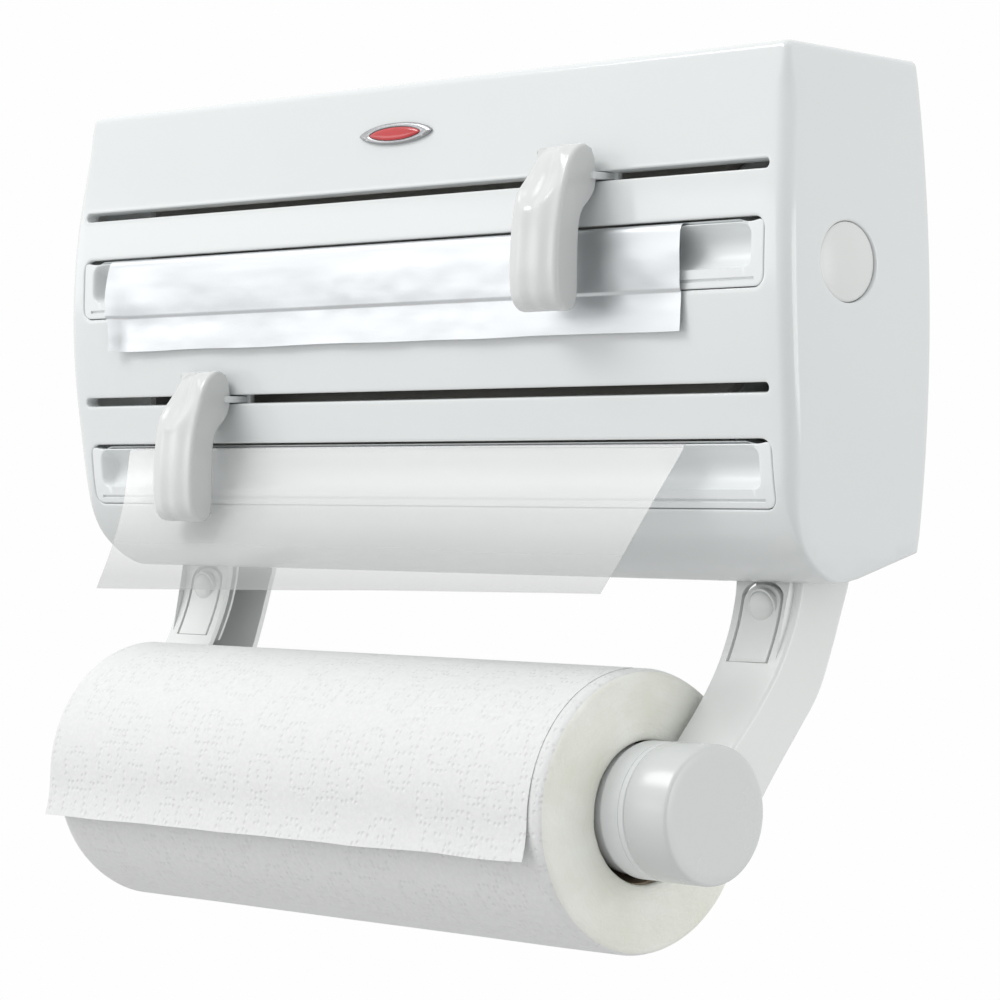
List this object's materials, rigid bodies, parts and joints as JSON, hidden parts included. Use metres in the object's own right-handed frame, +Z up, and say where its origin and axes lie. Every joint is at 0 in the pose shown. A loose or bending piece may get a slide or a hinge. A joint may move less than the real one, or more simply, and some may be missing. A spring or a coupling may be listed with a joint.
{
  "type": "wall kitchen roll dispenser",
  "caption": "Wall-mounted dispenser: foil and cling film rolls inside a hinged hood with sliding cutters, and a kitchen paper roll between two curved arms below.",
  "frame": {"origin": "centre of the wall face of the back frame, at the hood's mid height and mid width", "axes": "+X along the rolls to the user's right, +Y into the wall, +Z up"},
  "size_m": [0.376, 0.1215, 0.2914],
  "materials": {
    "white_plastic": "gloss white moulded plastic",
    "tray_plastic": "gloss cool white moulded plastic",
    "cutter_plastic": "gloss white moulded plastic",
    "button_plastic": "satin white moulded plastic",
    "arm_plastic": "gloss white moulded plastic",
    "head_plastic": "satin light grey moulded plastic",
    "frame_plastic": "matt off-white moulded plastic",
    "badge_metal": "satin bright metal",
    "badge_red": "red enamel",
    "steel": "ground steel",
    "foil": "bright slightly creased aluminium foil",
    "film": "clear thin plastic film",
    "paper": "soft embossed white tissue paper",
    "card": "brown grey rolled card"
  },
  "bodies": {
    "frame": {"back_frame": "frame_plastic", "hinge_pin_left": "steel", "hinge_pin_right": "steel"},
    "hood": {"hood_shell": "white_plastic", "upper_tray": "tray_plastic", "lower_tray": "tray_plastic", "badge_rim": "badge_metal", "badge_inlay": "badge_red", "foil_sheet": "foil", "film_sheet": "film", "button_spring_left": "steel", "button_spring_right": "steel"},
    "left_button": {"side_button_left": "button_plastic"},
    "right_button": {"side_button_right": "button_plastic"},
    "upper_cutter": {"upper_cutter_body": "cutter_plastic", "upper_cutter_blade": "steel", "upper_cutter_slider": "tray_plastic"},
    "lower_cutter": {"lower_cutter_body": "cutter_plastic", "lower_cutter_blade": "steel", "lower_cutter_slider": "tray_plastic"},
    "foil_spool": {"foil_core": "card", "foil_roll": "foil", "foil_plug_left": "frame_plastic", "foil_plug_right": "frame_plastic"},
    "film_spool": {"film_core": "card", "film_roll": "film", "film_plug_left": "frame_plastic", "film_plug_right": "frame_plastic"},
    "paper_spool": {"paper_core": "card", "paper_roll": "paper", "paper_tail": "paper"},
    "left_arm": {"arm_left": "arm_plastic", "arm_head_left": "head_plastic", "roll_plug_left": "tray_plastic"},
    "right_arm": {"arm_right": "arm_plastic", "arm_head_right": "head_plastic", "roll_plug_right": "tray_plastic"},
    "left_latch": {"arm_latch_left": "arm_plastic"},
    "right_latch": {"arm_latch_right": "arm_plastic"}
  },
  "joints": [
    {"name": "hood_hinge", "type": "hinge", "parent": "frame", "child": "hood", "pos_m": [0, -0.008, 0.0765], "axis": [-1, 0, 0], "range_deg": [0, 95]},
    {"name": "left_button_press", "type": "slide", "parent": "hood", "child": "left_button", "axis": [1, 0, 0], "range_m": [0, 0.003], "stiffness_N_per_m": 500, "springref_m": -0.002, "deforming": ["button_spring_left"]},
    {"name": "right_button_press", "type": "slide", "parent": "hood", "child": "right_button", "axis": [-1, 0, 0], "range_m": [0, 0.003], "stiffness_N_per_m": 500, "springref_m": -0.002, "deforming": ["button_spring_right"]},
    {"name": "upper_cutter_slide", "type": "slide", "parent": "hood", "child": "upper_cutter", "axis": [1, 0, 0], "range_m": [-0.2514, 0.0686]},
    {"name": "lower_cutter_slide", "type": "slide", "parent": "hood", "child": "lower_cutter", "axis": [1, 0, 0], "range_m": [-0.0598, 0.2602], "deforming": ["film_sheet"]},
    {"name": "foil_spin", "type": "hinge", "parent": "frame", "child": "foil_spool", "pos_m": [0, -0.036, 0.036], "axis": [1, 0, 0], "continuous": true},
    {"name": "film_spin", "type": "hinge", "parent": "frame", "child": "film_spool", "pos_m": [0, -0.035, -0.034], "axis": [1, 0, 0], "continuous": true},
    {"name": "paper_spin", "type": "hinge", "parent": "frame", "child": "paper_spool", "pos_m": [0, -0.0742, -0.159], "axis": [1, 0, 0], "continuous": true},
    {"name": "left_arm_slide", "type": "slide", "parent": "frame", "child": "left_arm", "axis": [-1, 0, 0], "range_m": [0, 0.012]},
    {"name": "right_arm_slide", "type": "slide", "parent": "frame", "child": "right_arm", "axis": [1, 0, 0], "range_m": [0, 0.012]},
    {"name": "left_latch_press", "type": "hinge", "parent": "left_arm", "child": "left_latch", "pos_m": [-0.1454, -0.0442, -0.111], "axis": [-1, 0, 0], "range_deg": [0, 5], "stiffness_Nm_per_rad": 0.4, "springref_deg": -2.86},
    {"name": "right_latch_press", "type": "hinge", "parent": "right_arm", "child": "right_latch", "pos_m": [0.1454, -0.0442, -0.111], "axis": [-1, 0, 0], "range_deg": [0, 5], "stiffness_Nm_per_rad": 0.4, "springref_deg": -2.86}
  ]
}
